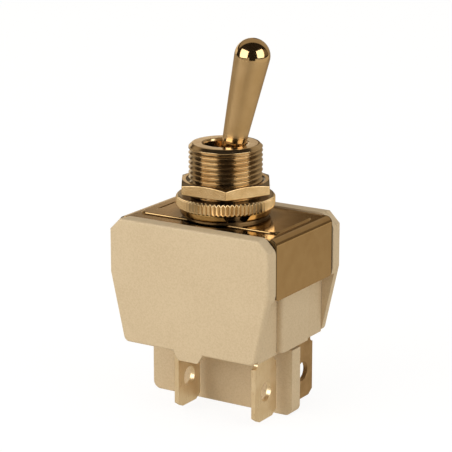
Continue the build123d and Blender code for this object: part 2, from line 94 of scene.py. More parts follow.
def start_material(name: str) -> tuple[Material, NodeTree]:
    """Make a material with an empty node tree.

    Args:
        name: the material's name.

    Returns:
        The material and its tree.
    """
    material = bpy.data.materials.new(name)
    material.use_nodes = True
    material.node_tree.nodes.clear()
    return material, material.node_tree


def add_node(
    tree: NodeTree, kind: str, inputs: dict[int | str, object] | None = None, **settings: object
) -> Node:
    """Add one node with its settings, values and links.

    Args:
        tree: the node tree that takes it.
        kind: the node's type name.
        inputs: for each input socket, by name or index, its value, the output socket that feeds it,
            or the node whose first output does.
        settings: the node's own properties.

    Returns:
        The new node.
    """
    node = tree.nodes.new(kind)
    for setting, value in settings.items():
        setattr(node, setting, value)
    for socket, value in (inputs or {}).items():
        source = value.outputs[0] if isinstance(value, Node) else value
        if isinstance(source, NodeSocket):
            tree.links.new(source, node.inputs[socket])
        else:
            node.inputs[socket].default_value = source
    return node


class Grain(Enum):
    """How a metal surface was finished, as the squeeze of its noise along each axis."""

    PLAIN = (1.0, 1.0, 1.0)
    ALONG_X = (0.04, 1.0, 1.0)
    ALONG_Z = (1.0, 1.0, 0.04)


@dataclass(frozen=True)
class MouldedPhenolic:
    """Case moulding: mineral-filled phenolic pressed in a steel mould.

    It looks matte and tan, faintly mottled, with painted shade in its narrow crevices and soft edges. The
    filler's grains are a few hundredths of a millimetre wide and are drawn coarser, so that they show.
    """

    name: str = "case_moulding"
    tone: str = "#D3BC97"
    mottle_tone: str = "#C8B08A"
    mottle_span: Span = (0.33, 0.6)
    painted_crevice_shade: str = "#4A3C28"
    crevice_reach: float = 0.35
    crevice_span: Span = (0.25, 0.6)
    roughness: float = 0.6
    filler_size: float = 0.28
    filler_depth: float = 0.02
    cloud_size: float = 9.0
    cloud_share: float = 0.25
    edge_round: float = 0.12

    def build(self) -> Material:
        """Make the material: specks over slow clouds, painted shade in crevices, and a fine moulded bump.

        Returns:
            The new material.
        """
        material, tree = start_material(self.name)
        place = add_node(tree, "ShaderNodeTexCoord").outputs["Object"]
        specks = add_node(tree, "ShaderNodeTexNoise", {
            "Vector": place, "Scale": 1 / (self.filler_size * MM), "Detail": 2.0, "Roughness": 0.6})
        clouds = add_node(tree, "ShaderNodeTexNoise", {
            "Vector": place, "Scale": 1 / (self.cloud_size * MM), "Detail": 3.0})
        mottle = add_node(tree, "ShaderNodeMix", {
            "Factor": self.cloud_share, NUMBER_A: specks, NUMBER_B: clouds})
        tones = add_node(tree, "ShaderNodeValToRGB", {"Fac": mottle})
        for index, tone in enumerate((self.mottle_tone, self.tone)):
            tones.color_ramp.elements[index].position = self.mottle_span[index]
            tones.color_ramp.elements[index].color = linear(tone)
        # Painted shade: ambient occlusion lays a dark tone into narrow crevices, where shade falls.
        open_share = add_node(tree, "ShaderNodeAmbientOcclusion", {"Distance": self.crevice_reach * MM},
                              samples=8)
        light = add_node(tree, "ShaderNodeMapRange", {
            "Value": open_share.outputs["AO"], "From Min": self.crevice_span[0],
            "From Max": self.crevice_span[1]}, interpolation_type="SMOOTHSTEP")
        colour = add_node(tree, "ShaderNodeMix", {
            "Factor": light, COLOUR_A: linear(self.painted_crevice_shade), COLOUR_B: tones}, data_type="RGBA")
        edges = add_node(tree, "ShaderNodeBevel", {"Radius": self.edge_round * MM}, samples=4)
        bump = add_node(tree, "ShaderNodeBump", {
            "Strength": 0.25, "Distance": self.filler_depth * MM, "Height": specks, "Normal": edges})
        surface = add_node(tree, "ShaderNodeBsdfPrincipled", {
            "Base Color": colour.outputs[COLOUR_OUT], "Roughness": self.roughness, "IOR": 1.55,
            "Normal": bump})
        add_node(tree, "ShaderNodeOutputMaterial", {"Surface": surface})
        return material


@dataclass(frozen=True)
class BrightMetal:
    """Brass, steel or silver alloy, turned, drawn or stamped, then bright dipped.

    It looks mirror-like, with fine tool lines, slow tarnishing, and painted shade laid on from its mesh.
    The lines are about 0.02 mm apart and are drawn coarser, so that they show.
    """

    name: str
    tone: str = "#E1C8A2"
    tarnish_tone: str = "#C9A875"
    # Colour of the painted shade that the mesh's own share lays on.
    dark_tone: str = "#2E2212"
    roughness: float = 0.16
    roughness_spread: Span = (0.8, 1.25)
    satin: float = 0.2
    line_size: float = 0.06
    line_depth: float = 0.0015
    cloud_size: float = 2.5
    grain: Grain = Grain.PLAIN
    follows_surface: bool = False
    edge_round: float = 0.0

    def build(self) -> Material:
        """Make the material: lines run by the grain, slow tarnishing, and the mesh's painted shade and
        satin shares.

        Returns:
            The new material.
        """
        material, tree = start_material(self.name)
        place = add_node(tree, "ShaderNodeTexCoord")
        source = place.outputs["UV"] if self.follows_surface else place.outputs["Object"]
        run = add_node(tree, "ShaderNodeMapping", {"Vector": source, "Scale": self.grain.value})
        lines = add_node(tree, "ShaderNodeTexNoise", {
            "Vector": run, "Scale": 1 / (self.line_size * MM), "Detail": 3.0, "Roughness": 0.55})
        clouds = add_node(tree, "ShaderNodeTexNoise", {
            "Vector": place.outputs["Object"], "Scale": 1 / (self.cloud_size * MM), "Detail": 3.0})
        smoothest, roughest = (self.roughness * share for share in self.roughness_spread)
        shine = add_node(tree, "ShaderNodeMapRange", {
            "Value": lines, "From Min": 0.3, "From Max": 0.7, "To Min": smoothest, "To Max": roughest})
        tarnish_and_painted_shade = add_node(tree, "ShaderNodeMapRange", {
            "Value": clouds, "From Min": 0.35, "From Max": 0.75})
        brass = add_node(tree, "ShaderNodeMix", {
            "Factor": tarnish_and_painted_shade, COLOUR_A: linear(self.tone), COLOUR_B: linear(self.tarnish_tone)},
            data_type="RGBA")
        # Painted shade: the mesh's share darkens the metal where shade falls on it.
        dark = add_node(tree, "ShaderNodeAttribute", attribute_name="dark_share")
        colour = add_node(tree, "ShaderNodeMix", {
            "Factor": dark.outputs["Fac"], COLOUR_A: brass.outputs[COLOUR_OUT],
            COLOUR_B: linear(self.dark_tone)}, data_type="RGBA")
        satin = add_node(tree, "ShaderNodeAttribute", attribute_name="satin_share")
        gloss = add_node(tree, "ShaderNodeMath", {0: satin.outputs["Fac"], 1: self.satin, 2: shine},
                         operation="MULTIPLY_ADD")
        bump = add_node(tree, "ShaderNodeBump", {
            "Strength": 0.3, "Distance": self.line_depth * MM, "Height": lines})
        if self.edge_round:
            edges = add_node(tree, "ShaderNodeBevel", {"Radius": self.edge_round * MM}, samples=4)
            tree.links.new(edges.outputs["Normal"], bump.inputs["Normal"])
        surface = add_node(tree, "ShaderNodeBsdfPrincipled", {
            "Metallic": 1.0, "Base Color": colour.outputs[COLOUR_OUT], "Roughness": gloss, "Normal": bump})
        add_node(tree, "ShaderNodeOutputMaterial", {"Surface": surface})
        return material


@dataclass(frozen=True)
class HiddenPlastic:
    """Inner moulding or fibre sheet: a plain matte polymer, which looks even and faintly cloudy."""

    name: str
    tone: str
    roughness: float = 0.5
    cloud_size: float = 1.5
    darkest: float = 0.8

    def build(self) -> Material:
        """Make the material: one tone darkened by slow noise.

        Returns:
            The new material.
        """
        material, tree = start_material(self.name)
        clouds = add_node(tree, "ShaderNodeTexNoise", {
            "Vector": add_node(tree, "ShaderNodeTexCoord").outputs["Object"],
            "Scale": 1 / (self.cloud_size * MM), "Detail": 3.0})
        tones = add_node(tree, "ShaderNodeValToRGB", {"Fac": clouds})
        darker = tuple(self.darkest * level for level in linear(self.tone)[:3]) + (1.0,)
        tones.color_ramp.elements[0].color = darker
        tones.color_ramp.elements[1].color = linear(self.tone)
        surface = add_node(tree, "ShaderNodeBsdfPrincipled", {
            "Base Color": tones, "Roughness": self.roughness})
        add_node(tree, "ShaderNodeOutputMaterial", {"Surface": surface})
        return material


def section_loops(columns: int, *corners: tuple[float | Array, float | Array]) -> Array:
    """Lay out the corners of a section that is carried round an axis.

    Args:
        columns: how many columns go round.
        corners: radius and height of each corner, each one number or a value for each column.

    Returns:
        Corner by column by (radius, height).
    """
    wide = [[np.broadcast_to(value, columns) for value in corner] for corner in corners]
    return np.array(wide).swapaxes(1, 2)


def rounded_loop(corners: Array, radius: float) -> Array:
    """Round the corners of closed loops.

    Each corner is cut back along both of its edges by the radius, or by CUT_SHARE of the edge where
    that is shorter, and a quadratic curve from cut to cut takes the corner's place. One more point
    on each side, at up to HOLD_REACH radii, keeps the shading of the flats beside it even.

    Args:
        corners: corner by column by coordinate, one closed loop in each column.
        radius: length cut from each edge, in millimetres.

    Returns:
        The rounded loops, with CORNER_POINTS points for each corner.
    """
    before = np.roll(corners, 1, axis=0)
    after = np.roll(corners, -1, axis=0)

    def towards(other: Array, reach: float, share: float) -> Array:
        """Go towards the other corners by a reach, or at most by a share of the edge.

        Args:
            other: the corners gone towards.
            reach: how far, in millimetres.
            share: the largest part of the edge.

        Returns:
            The points reached.
        """
        edge = other - corners
        length = np.maximum(np.linalg.norm(edge, axis=-1, keepdims=True), SHORTEST_EDGE)
        return corners + edge / length * np.minimum(reach, share * length)

    start, end = towards(before, radius, CUT_SHARE), towards(after, radius, CUT_SHARE)
    t = np.linspace(0, 1, CORNER_POINTS - 2)[:, None, None, None]
    curves = (1 - t) ** 2 * start + 2 * t * (1 - t) * corners + t**2 * end
    first = towards(before, HOLD_REACH * radius, HOLD_SHARE)
    last = towards(after, HOLD_REACH * radius, HOLD_SHARE)
    points = np.concatenate([first[None], curves, last[None]])
    return np.moveaxis(points, 0, 1).reshape(-1, *corners.shape[1:])


def spin(loops: Array, angles: Array) -> Array:
    """Place radius and height pairs at their angles about +Z.

    Args:
        loops: row by column by (radius, height).
        angles: angle of each column, or of each row and column, in radians.

    Returns:
        Row by column by (x, y, z): radius times cosine, radius times sine, height.
    """
    radius, height = loops[..., 0], loops[..., 1]
    return np.stack([radius * np.cos(angles), radius * np.sin(angles), height], axis=-1)


def smooth_step(t: Array) -> Array:
    """Ease from 0 to 1: three times the square less twice the cube."""
    return t * t * (3 - 2 * t)


def make_piece(
    name: str,
    points: Array,
    close_rows: bool,
    close_columns: bool,
    sharp_angle: float = 35.0,
    **shares: Array,
) -> Object:
    """Make a mesh object from a grid of points, with closed seams and poles and outward faces.

    Neighbours in row and column make quads, rows or columns that close wrap to the first again,
    and open columns get a flat cap at each end. A UV map holds column share and row length.

    Args:
        name: the piece's name.
        points: row by column by coordinate, in millimetres.
        close_rows: whether the last row joins the first.
        close_columns: whether the last column joins the first.
        sharp_angle: edges that turn more than this many degrees are shaded sharp.
        shares: values from 0 to 1 for each point, by name, for the finish to read: dark_share is
            how far painted shade darkens it, and satin_share how far it is left satin.

    Returns:
        The new object, linked to the scene.
    """
    rows, columns = points.shape[:2]
    row_count = rows if close_rows else rows - 1
    column_count = columns if close_columns else columns - 1
    i, j = np.meshgrid(np.arange(row_count), np.arange(column_count), indexing="ij")
    i, j = i.ravel(), j.ravel()
    below, beside = (i + 1) % rows, (j + 1) % columns
    near, far = i * columns, below * columns
    quads = np.stack([near + j, near + beside, far + beside, far + j], 1)
    mesh = bpy.data.meshes.new(name)
    faces = quads.tolist()
    if not close_columns:
        ring = np.arange(rows) * columns
        faces += [ring.tolist(), (ring[::-1] + columns - 1).tolist()]
    mesh.from_pydata((points.reshape(-1, 3) * MM).tolist(), [], faces)
    for share_name, values in shares.items():
        mesh.attributes.new(share_name, "FLOAT", "POINT").data.foreach_set("value", values.ravel())
    steps = np.linalg.norm(np.diff(points.mean(axis=1), axis=0), axis=-1)
    length = np.concatenate([[0.0], np.cumsum(np.maximum(steps, SHORTEST_STEP)), [0.0]]) * MM
    length[-1] = length[-2]
    reach = float(np.linalg.norm(points[..., :2], axis=-1).max()) * TURN * MM
    across = np.stack([j, j + 1, j + 1, j], 1) / columns * reach
    along = np.stack([length[i], length[i], length[i + 1], length[i + 1]], 1)
    layer = mesh.uv_layers.new(name="surface")
    uv = np.zeros((len(mesh.loops), 2))
    uv[: across.size] = np.stack([across.ravel(), along.ravel()], 1)
    layer.data.foreach_set("uv", uv.ravel())
    joined = bmesh.new()
    joined.from_mesh(mesh)
    bmesh.ops.remove_doubles(joined, verts=joined.verts, dist=MERGE_METRES)
    bmesh.ops.recalc_face_normals(joined, faces=joined.faces)
    joined.to_mesh(mesh)
    joined.free()
    mesh.polygons.foreach_set("use_smooth", np.ones(len(mesh.polygons), bool))
    mesh.set_sharp_from_angle(angle=radians(sharp_angle))
    piece = bpy.data.objects.new(name, mesh)
    bpy.context.scene.collection.objects.link(piece)
    LOG.info("%s: %d faces", name, len(mesh.polygons))
    return piece


def dress(nodes: tuple[str, ...], material: Material) -> None:
    """Give CAD nodes a material in every slot.

    Args:
        nodes: the nodes' names.
        material: what they get.
    """
    for node in nodes:
        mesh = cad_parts[node].data
        if not mesh.materials:
            mesh.materials.append(material)
        for slot in range(len(mesh.materials)):
            mesh.materials[slot] = material
        LOG.info("%s: CAD mesh in %s", node, material.name)


def stand_for(piece: Object, node: str, body: str, material: Material) -> None:
    """Let a piece take a CAD node's place: its body and its material.

    Args:
        piece: the new piece.
        node: the node it replaces.
        body: the body it rides on.
        material: its finish.
    """
    piece.data.materials.append(material)
    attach(piece, body)
    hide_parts(node)


@dataclass
class Stack:
    """Heights and radii that the pieces on the bushing share.

    The nut lap is how far the nuts' bores reach inside the thread's crests.
    """

    rim: float = 31.5
    bushing_radius: float = 5.953
    bushing_top: float = 43.3
    pitch: float = 0.794
    nut_lap: float = 0.2
    hex_foot: float = 35.7
    hex_top: float = 37.45
    knurl_foot: float = 33.0
    knurl_top: float = 35.0
    ring_foot: float = 31.8
    pivot: float = 36.95


@dataclass
class StackPiece:
    """A piece that takes its heights from the stack, with its material."""

    stack: Stack
    material: Material


@dataclass
class ThreadedBushing(StackPiece):
    """Turned bushing with a rolled fine thread outside and a round seat for the lever's ball.

    The foot of the seat and the top of the skirt are heights above the rim.
    """

    thread_depth: float = 0.42
    crest_round: float = 0.97
    # Painted shade: darker in the thread's grooves, and dark on the barrel under the nuts, seen in shade
    # through the ring's gap.
    groove_painted_shade: float = 0.55
    foot_painted_shade: float = 0.9
    painted_shade_lap: float = 0.02
    run_out: float = 0.5
    chamfer: float = 0.5
    mouth_radius: float = 3.55
    mouth_flare: float = 0.1
    mouth_depth: float = 0.6
    seat_radius: float = 4.2
    seat_foot: float = 2.0
    skirt_bore: float = 4.7
    skirt_top: float = 1.0
    flange_radius: float = 6.9
    flange_top: float = 30.35
    flange_foot: float = 29.15
    rows_per_turn: int = 32
    hidden_rows_per_turn: int = 8
    flat_rows: int = 8
    seat_rows: int = 12
    columns: int = 256

    def section(self) -> Array:
        """Outline of the section, up the outside, over the top and down the bore.

        Returns:
            Row by (radius, height).
        """
        stack = self.stack
        bare = stack.hex_top - stack.pitch / 2
        barrel = np.concatenate([
            np.arange(stack.knurl_foot, bare, stack.pitch / self.hidden_rows_per_turn),
            np.arange(bare, stack.bushing_top, stack.pitch / self.rows_per_turn),
        ])
        seat_top = stack.pivot + sqrt(self.seat_radius**2 - self.mouth_radius**2)
        bow = np.linspace(seat_top, stack.pivot, self.seat_rows)
        outside = [
            (self.skirt_bore, self.flange_foot),
            (self.flange_radius, self.flange_foot),
            (self.flange_radius, self.flange_top),
            (stack.bushing_radius, self.flange_top),
            (stack.bushing_radius, stack.knurl_foot - self.painted_shade_lap),
        ]
        thread = [(stack.bushing_radius, z) for z in barrel]
        inner_flat = self.mouth_radius + self.mouth_flare
        flat = np.linspace(stack.bushing_radius - self.chamfer, inner_flat, self.flat_rows)
        mouth = np.linspace(stack.bushing_top - self.mouth_depth, seat_top, self.flat_rows)[:-1]
        inside = [(r, stack.bushing_top) for r in flat]
        inside += [(self.mouth_radius, stack.bushing_top - self.mouth_flare)]
        inside += [(self.mouth_radius, z) for z in mouth]
        inside += [(sqrt(self.seat_radius**2 - (z - stack.pivot) ** 2), z) for z in bow]
        inside += [(self.seat_radius, stack.rim + self.seat_foot)]
        inside += [(self.skirt_bore, stack.rim + self.skirt_top)]
        return np.array(outside + thread + inside)

    def build(self) -> None:
        """Spin the section and cut the thread.

        The thread's radius falls below the crest by half the depth times one minus a rounded
        triangle wave of height over pitch minus the turn. The depth fades out below the chamfer,
        and the chamfer's cone caps it.
        """
        stack = self.stack
        section = self.section()
        angles = np.arange(self.columns) / self.columns * TURN
        loops = np.repeat(section[:, None, :], self.columns, axis=1)
        height = loops[..., 1]
        phase = height / stack.pitch - angles[None, :] / TURN
        wave = np.arcsin(self.crest_round * np.cos(TURN * phase)) / np.arcsin(self.crest_round)
        cone = stack.bushing_radius + (stack.bushing_top - self.chamfer - height)
        fade = np.clip((stack.bushing_top - self.chamfer - height) / self.run_out, 0.0, 1.0)
        groove = (1 - wave) / 2 * fade
        threaded = stack.bushing_radius - self.thread_depth * groove
        on_barrel = (section[:, 0] == stack.bushing_radius) & (section[:, 1] >= stack.knurl_foot)
        loops[on_barrel, :, 0] = np.minimum(threaded, cone)[on_barrel]
        # Painted shade in the grooves and on the barrel below the nuts.
        under_nuts = np.where(section[:, 1] < stack.knurl_foot, self.foot_painted_shade, 0.0)
        dark = np.where(on_barrel[:, None], self.groove_painted_shade * groove, under_nuts[:, None])
        piece = make_piece("threaded_bushing", spin(loops, angles), True, True, sharp_angle=50.0,
                           dark_share=dark)
        stand_for(piece, "bushing", "switch_body", self.material)


@dataclass
class HexNut(StackPiece):
    """Hexagonal nut with its corners chamfered by a cone, more on top than at the foot.

    Painted shade on the top stands in for its dark reflections. The shade rows are the rows of the rounded
    section where it changes, counted from the bore's foot, and the shade shares are its level there, as
    parts of the top's.
    """

    half_flats: float = 7.0
    flat_inset: float = 0.05
    corner_angle: float = 2.0
    top_chamfer: float = 20.0
    foot_chamfer: float = 3.0
    countersink: float = 0.35
    countersink_slope: float = 0.6
    mouth_gap: float = 0.04
    corner_round: float = 0.1
    edge_round: float = 0.04
    # Painted shade on the top face, standing in for its dark reflections.
    top_painted_shade: float = 0.75
    painted_shade_rows: tuple[int, ...] = (17, 18, 19, 21, 22, 23, 25, 26, 27)
    dark_shares: tuple[float, ...] = (0.0, 0.4, 1.0, 1.0, 0.5, 0.0, 0.0, 0.6, 1.25)
    face_reach: float = 29.2
    face_columns: int = 22
    corner_reach: float = 0.6
    corner_columns: int = 7

    def angles(self) -> Array:
        """Angles of the columns, with close ones round each corner.

        Returns:
            The angles, in radians.
        """
        face = np.linspace(-self.face_reach, self.face_reach, self.face_columns)
        corner = np.linspace(-self.corner_reach, self.corner_reach, self.corner_columns) + 30.0
        turns = np.arange(6)[:, None] * 60.0
        return np.radians((turns + np.concatenate([face, corner]) + 30.0 + self.corner_angle).ravel())

    def wall(self, angles: Array) -> Array:
        """Radius of the side wall: half the flats over the cosine, and a small arc at each corner.

        Args:
            angles: angle of each column, in radians.

        Returns:
            The wall's radius at each column.
        """
        turned = angles - radians(self.corner_angle + 30.0)
        off_face = (turned + np.pi / 6) % (np.pi / 3) - np.pi / 6
        flat = self.half_flats / np.cos(off_face)
        centre = (self.half_flats - self.corner_round) / cos(np.pi / 6)
        off_corner = np.pi / 6 - np.abs(off_face)
        inside = np.maximum(self.corner_round**2 - (centre * np.sin(off_corner)) ** 2, 0.0)
        arc = centre * np.cos(off_corner) + np.sqrt(inside)
        return np.where(centre * np.sin(off_corner) < self.corner_round / 2, np.minimum(arc, flat), flat)

    def build(self) -> None:
        """Carry the nut's section round, with the chamfers lower the further the wall stands out."""
        foot, top = self.stack.hex_foot, self.stack.hex_top
        angles = self.angles()
        wall = self.wall(angles)
        rise = (wall - self.half_flats) * np.tan(radians(self.foot_chamfer))
        drop = (wall - self.half_flats) * np.tan(radians(self.top_chamfer))
        flat = self.half_flats - self.flat_inset
        bore = self.stack.bushing_radius - self.stack.nut_lap
        mouth = self.stack.bushing_radius + self.mouth_gap
        sunk = top - self.countersink_slope * self.countersink
        loops = section_loops(
            len(angles),
            (bore, foot),
            (flat, foot),
            (wall, foot + rise),
            (wall, top - drop),
            (flat, top),
            (mouth + self.countersink, top),
            (mouth, sunk),
            (bore, sunk - self.stack.nut_lap),
        )
        loops = rounded_loop(loops, self.edge_round)
        dark = self.top_painted_shade * np.interp(np.arange(len(loops)), self.painted_shade_rows, self.dark_shares)
        piece = make_piece("hexagon_nut", spin(loops, angles), True, True,
                           dark_share=np.broadcast_to(dark[:, None], loops.shape[:2]))
        stand_for(piece, "hex_nut", "switch_body", self.material)


@dataclass
class KnurledNut(StackPiece):
    """Round face nut with straight knurling and broken edges.

    Painted shade in the grooves and on the faces near the bore is given at each corner of the section,
    from the bore's foot round to its top.
    """

    radius: float = 8.0
    teeth: int = 68
    tooth_depth: float = 0.31
    tooth_round: float = 0.97
    # Painted shade, in the knurl's grooves and on both faces near the bore, where the hex nut and ring meet
    # it.
    groove_painted_shade: tuple[float, ...] = (0.0, 0.0, 0.06, 0.06, 0.0, 0.0)
    face_painted_shade: tuple[float, ...] = (0.85, 0.5, 0.0, 0.0, 0.6, 0.85)
    edge: float = 0.3
    edge_overlap: float = 0.02
    edge_round: float = 0.08
    columns_per_tooth: int = 8

    def build(self) -> None:
        """Carry the section round: the wall's radius is a rounded triangle wave of the angle."""
        foot, top = self.stack.knurl_foot, self.stack.knurl_top
        columns = self.teeth * self.columns_per_tooth
        angles = np.arange(columns) / columns * TURN
        wave = np.arcsin(self.tooth_round * np.cos(self.teeth * angles)) / np.arcsin(self.tooth_round)
        wall = self.radius - self.tooth_depth * (1 - wave) / 2
        flat = self.radius - self.edge - self.edge_overlap
        bore = self.stack.bushing_radius - self.stack.nut_lap
        slope = np.maximum(wall - flat, 0.0)
        loops = section_loops(columns, (bore, foot), (flat, foot), (wall, foot + slope),
                              (wall, top - slope), (flat, top), (bore, top))
        loops = rounded_loop(loops, self.edge_round)
        grooves = np.repeat(self.groove_painted_shade, CORNER_POINTS)[:, None]
        faces = np.repeat(self.face_painted_shade, CORNER_POINTS)[:, None]
        piece = make_piece("knurled_face_nut", spin(loops, angles), True, True, sharp_angle=50.0,
                           dark_share=grooves * (1 - wave) / 2 + faces)
        stand_for(piece, "knurled_nut", "switch_body", self.material)


@dataclass
class KeyRing(StackPiece):
    """Open locking ring under the face nut, its gap wider at the top and its foot rounded."""

    outer: float = 7.35
    inner: float = 6.053
    foot_round: float = 0.3
    gap_foot: float = 2.7
    gap_top: float = 5.0
    gap_angle: float = -43.5
    edge_round: float = 0.08
    # Painted shade: an even darkening for the shade under the face nut.
    tarnish_and_painted_shade: float = 0.2
    columns: int = 180

    def build(self) -> None:
        """Carry the section from one side of the gap to the other, which part more towards the top."""
        foot, top = self.stack.ring_foot, self.stack.knurl_foot
        outline = section_loops(
            1,
            (self.inner, foot),
            (self.outer - self.foot_round, foot),
            (self.outer, foot + self.foot_round),
            (self.outer, top),
            (self.inner, top),
        )
        loops = rounded_loop(outline, self.edge_round)
        share = (loops[:, :, 1] - foot) / (top - foot)
        half_gap = (self.gap_foot + (self.gap_top - self.gap_foot) * share) / 2 / self.outer
        sweep = np.linspace(0, 1, self.columns)[None, :]
        angles = radians(self.gap_angle) + half_gap + (TURN - 2 * half_gap) * sweep
        loops = np.repeat(loops, self.columns, axis=1)
        piece = make_piece("locking_ring", spin(loops, angles), True, False,
                           dark_share=np.full(angles.shape, self.tarnish_and_painted_shade))
        stand_for(piece, "key_ring", "switch_body", self.material)


@dataclass
class BatLever(StackPiece):
    """Turned lever in one piece: hemispherical head, long taper, thin neck, ball and stem."""

    throw: float = 13.3
    ball_radius: float = 3.9
    neck_radius: float = 1.9
    neck_inset: float = 0.1
    taper_start: float = 6.5
    taper_inset: float = 0.2
    head_reach: float = 21.36
    head_radius: float = 2.85
    stem_radius: float = 2.3
    stem_length: float = 12.6
    satin_start: float = 7.6
    satin_fade: float = 0.6
    ball_rows: int = 48
    neck_rows: int = 12
    taper_rows: int = 60
    dome_rows: int = 40
    columns: int = 128

    def section(self) -> Array:
        """Outline from the stem's foot to the top of the head.

        Returns:
            Row by (radius, reach along the axis).
        """
        stem_top = -sqrt(self.ball_radius**2 - self.stem_radius**2)
        neck_foot = sqrt(self.ball_radius**2 - self.neck_radius**2)
        ball = np.linspace(stem_top, neck_foot, self.ball_rows)
        neck = np.linspace(neck_foot + self.neck_inset, self.taper_start - self.taper_inset, self.neck_rows)
        taper = np.linspace(self.taper_start, self.head_reach, self.taper_rows)
        grow = (taper - self.taper_start) / (self.head_reach - self.taper_start)
        dome = np.linspace(0, np.pi / 2, self.dome_rows)[1:]
        head = self.head_reach + self.head_radius * np.sin(dome)
        return np.concatenate([
            [(0.0, -self.stem_length), (self.stem_radius, -self.stem_length)],
            np.stack([np.sqrt(self.ball_radius**2 - ball**2), ball], 1),
            np.stack([np.full_like(neck, self.neck_radius), neck], 1),
            np.stack([self.neck_radius + (self.head_radius - self.neck_radius) * grow, taper], 1),
            np.stack([self.head_radius * np.cos(dome), head], 1),
        ])

    def build(self) -> None:
        """Spin the section, then lean it towards +X by the throw about the pivot."""
        section = self.section()
        angles = np.arange(self.columns) / self.columns * TURN
        upright = spin(np.repeat(section[:, None, :], self.columns, axis=1), angles)
        lean = radians(self.throw)
        x = upright[..., 0] * cos(lean) + upright[..., 2] * sin(lean)
        z = upright[..., 2] * cos(lean) - upright[..., 0] * sin(lean) + self.stack.pivot
        reach = section[:, 1]
        rise = np.clip((reach - self.satin_start) / self.satin_fade, 0.0, 1.0)
        satin = np.broadcast_to(np.where(reach < self.head_reach, rise, 0.0)[:, None], x.shape)
        piece = make_piece("bat_lever", np.stack([x, upright[..., 1], z], -1), False, True,
                           sharp_angle=40.0, satin_share=satin)
        stand_for(piece, "lever", "lever_body", self.material)


